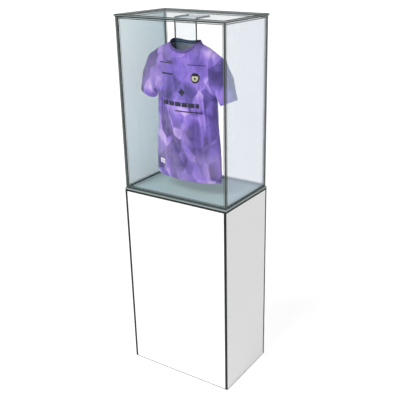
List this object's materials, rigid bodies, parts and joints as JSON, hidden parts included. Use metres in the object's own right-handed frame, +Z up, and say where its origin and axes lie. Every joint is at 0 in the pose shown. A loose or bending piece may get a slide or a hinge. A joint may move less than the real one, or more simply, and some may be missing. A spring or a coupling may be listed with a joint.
{
  "type": "jersey display case",
  "caption": "Tall glass showcase for one sports jersey: hollow white plinth, lift-off glass hood, clear hanger and form, levelling feet.",
  "frame": {"origin": "on the floor under the centre of the plinth", "axes": "+X to the right seen from the front, -Y towards the viewer in front, +Z up"},
  "size_m": [0.65, 0.42, 2],
  "materials": {
    "laminate": "white compact laminate, satin, dark core at the cut edges",
    "plywood": "pale sanded plywood",
    "angle_aluminium": "mill finish",
    "zinc_steel": "bright zinc",
    "insert_brass": "turned",
    "black_gasket": "matt black foam rubber",
    "plate_glass": "clear float glass, green-grey at the edges",
    "side_glass": "clear float glass with a blue-grey cast",
    "clear_acrylic": "clear, polished",
    "jersey_knit": "printed polyester knit, soft sheen",
    "collar_rib": "ribbed knit band",
    "woven_badge": "woven badge",
    "foot_steel": "black zinc"
  },
  "bodies": {
    "plinth": {"front_panel": "laminate", "back_panel": "laminate", "left_panel": "laminate", "right_panel": "laminate", "top_rail_front": "plywood", "top_rail_back": "plywood", "top_rail_left": "plywood", "top_rail_right": "plywood", "base_board": "plywood", "base_battens": "plywood", "corner_angles": "angle_aluminium", "angle_screws": "zinc_steel", "rail_screws": "zinc_steel", "foot_inserts": "insert_brass", "rim_gasket": "black_gasket", "floor_glass": "plate_glass", "corner_locators": "clear_acrylic"},
    "hood": {"hood_seal": "black_gasket", "hood_front_glass": "plate_glass", "hood_back_glass": "plate_glass", "hood_left_glass": "side_glass", "hood_right_glass": "side_glass", "hood_top_glass": "plate_glass", "hanger_plate": "clear_acrylic", "hanger_bond": "clear_acrylic", "hanger_studs": "zinc_steel", "form_spacers": "clear_acrylic", "form_front": "clear_acrylic", "form_back": "clear_acrylic", "form_left_arm": "clear_acrylic", "form_right_arm": "clear_acrylic", "jersey_front": "jersey_knit", "jersey_back": "jersey_knit", "jersey_left_sleeve": "jersey_knit", "jersey_right_sleeve": "jersey_knit", "jersey_collar": "collar_rib", "jersey_badge": "woven_badge"},
    "foot_front_left": {"foot_pad_front_left": "foot_steel", "foot_stud_front_left": "zinc_steel"},
    "foot_front_right": {"foot_pad_front_right": "foot_steel", "foot_stud_front_right": "zinc_steel"},
    "foot_back_left": {"foot_pad_back_left": "foot_steel", "foot_stud_back_left": "zinc_steel"},
    "foot_back_right": {"foot_pad_back_right": "foot_steel", "foot_stud_back_right": "zinc_steel"}
  },
  "joints": [
    {"name": "hood_lift", "type": "slide", "parent": "plinth", "child": "hood", "axis": [0, 0, 1], "range_m": [0, 0.3]},
    {"name": "level_front_left", "type": "slide", "parent": "plinth", "child": "foot_front_left", "axis": [0, 0, 1], "range_m": [-0.012, 0]},
    {"name": "level_front_right", "type": "slide", "parent": "plinth", "child": "foot_front_right", "axis": [0, 0, 1], "range_m": [-0.012, 0]},
    {"name": "level_back_left", "type": "slide", "parent": "plinth", "child": "foot_back_left", "axis": [0, 0, 1], "range_m": [-0.012, 0]},
    {"name": "level_back_right", "type": "slide", "parent": "plinth", "child": "foot_back_right", "axis": [0, 0, 1], "range_m": [-0.012, 0]}
  ]
}
